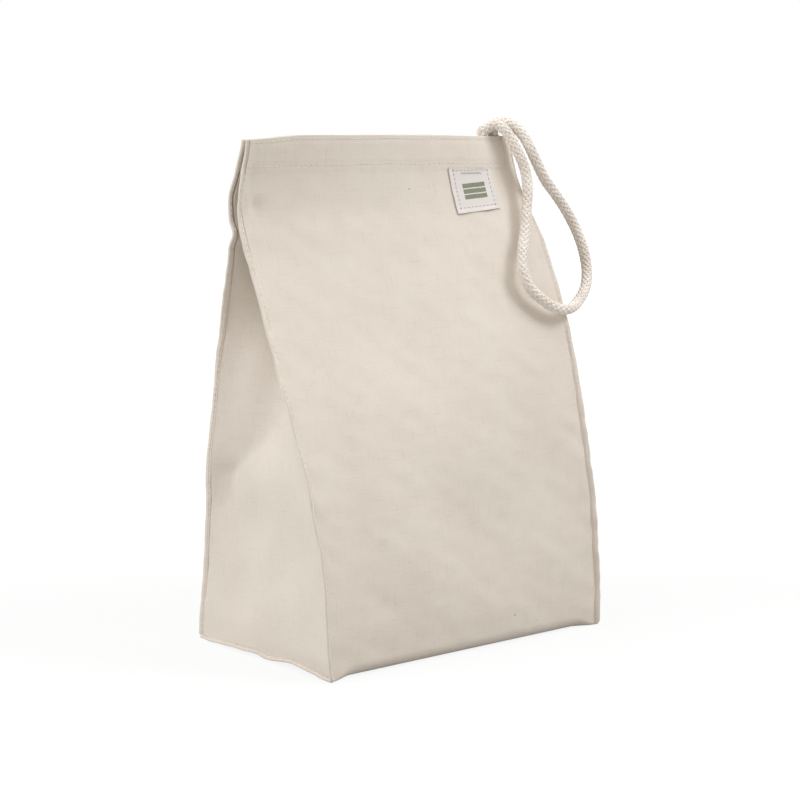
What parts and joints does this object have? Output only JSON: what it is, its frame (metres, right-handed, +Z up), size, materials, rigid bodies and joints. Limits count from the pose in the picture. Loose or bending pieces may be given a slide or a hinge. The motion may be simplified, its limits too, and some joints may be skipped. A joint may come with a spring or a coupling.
{
  "type": "canvas lunch bag",
  "caption": "Standing fabric lunch bag with folding side gussets, a mouth that pinches shut, a hemmed top, a small sewn label and a soft rope loop handle at one end of the mouth.",
  "frame": {"origin": "middle of the bottom, on the table", "axes": "+Z up, -Y towards the front panel with the label, +X towards the end of the mouth with the rope"},
  "size_m": [0.2113, 0.1154, 0.2707],
  "materials": {
    "canvas": "matte natural plain weave",
    "thread": "matte sewing thread",
    "closure_tape": "matte napped tape",
    "label_cloth": "smooth woven tape with plain sage green stripes",
    "rope": "soft braided cotton"
  },
  "bodies": {
    "base": {"bottom_panel": "canvas", "left_bottom_seam": "canvas", "right_bottom_seam": "canvas"},
    "front": {"front_panel": "canvas", "front_hem": "canvas", "front_hem_upper_stitching": "thread", "front_hem_lower_stitching": "thread", "front_left_seam": "canvas", "front_right_seam": "canvas", "left_gusset_front_fold": "canvas", "right_gusset_front_fold": "canvas", "hook_strip": "closure_tape", "label": "label_cloth", "label_upper_stitching": "thread", "label_lower_stitching": "thread", "rope_first_end": "rope", "rope_second_end": "rope", "rope_first_tack": "thread", "rope_second_tack": "thread"},
    "back": {"back_panel": "canvas", "back_hem": "canvas", "back_hem_upper_stitching": "thread", "back_hem_lower_stitching": "thread", "back_left_seam": "canvas", "back_right_seam": "canvas", "left_gusset_back_fold": "canvas", "right_gusset_back_fold": "canvas", "loop_strip": "closure_tape"},
    "left_gusset_front": {"left_gusset_front_wall": "canvas"},
    "left_gusset_back": {"left_gusset_back_wall": "canvas"},
    "right_gusset_front": {"right_gusset_front_wall": "canvas"},
    "right_gusset_back": {"right_gusset_back_wall": "canvas"},
    "handle": {"handle_rope": "rope"}
  },
  "joints": [
    {"name": "mouth_front_opening", "type": "hinge", "parent": "base", "child": "front", "pos_m": [0, -0.0546, 0.0004], "axis": [1, 0, 0], "range_deg": [0, 12], "deforming": ["left_gusset_front_fold", "right_gusset_front_fold"]},
    {"name": "mouth_back_opening", "type": "hinge", "parent": "base", "child": "back", "pos_m": [0, 0.0546, 0.0004], "axis": [-1, 0, 0], "range_deg": [0, 9], "deforming": ["left_gusset_back_fold", "right_gusset_back_fold"]},
    {"name": "left_gusset_front_unfolding", "type": "hinge", "parent": "front", "child": "left_gusset_front", "pos_m": [-0.0861, -0.0546, 0.0004], "axis": [-0.8756, -0.4804, 0.0505], "range_deg": [0, 13.7]},
    {"name": "left_gusset_back_unfolding", "type": "hinge", "parent": "back", "child": "left_gusset_back", "pos_m": [-0.0861, 0.0546, 0.0004], "axis": [0.8058, -0.5904, -0.0465], "range_deg": [0, 11.2]},
    {"name": "right_gusset_front_unfolding", "type": "hinge", "parent": "front", "child": "right_gusset_front", "pos_m": [0.0861, -0.0546, 0.0004], "axis": [-0.8756, 0.4804, -0.0505], "range_deg": [0, 13.7]},
    {"name": "right_gusset_back_unfolding", "type": "hinge", "parent": "back", "child": "right_gusset_back", "pos_m": [0.0861, 0.0546, 0.0004], "axis": [0.8058, 0.5904, 0.0465], "range_deg": [0, 11.2]},
    {"name": "handle_lift", "type": "hinge", "parent": "front", "child": "handle", "pos_m": [0.07, 0.005, 0.264], "axis": [-1, 0, 0], "range_deg": [0, 158], "deforming": ["handle_rope"]}
  ],
  "couplings": [
    {"joint": "mouth_back_opening", "follows": "mouth_front_opening", "ratio": 0.75},
    {"joint": "left_gusset_front_unfolding", "follows": "mouth_front_opening", "ratio": 1.1408},
    {"joint": "left_gusset_back_unfolding", "follows": "mouth_front_opening", "ratio": 0.92972},
    {"joint": "right_gusset_front_unfolding", "follows": "mouth_front_opening", "ratio": 1.1408},
    {"joint": "right_gusset_back_unfolding", "follows": "mouth_front_opening", "ratio": 0.92972}
  ]
}
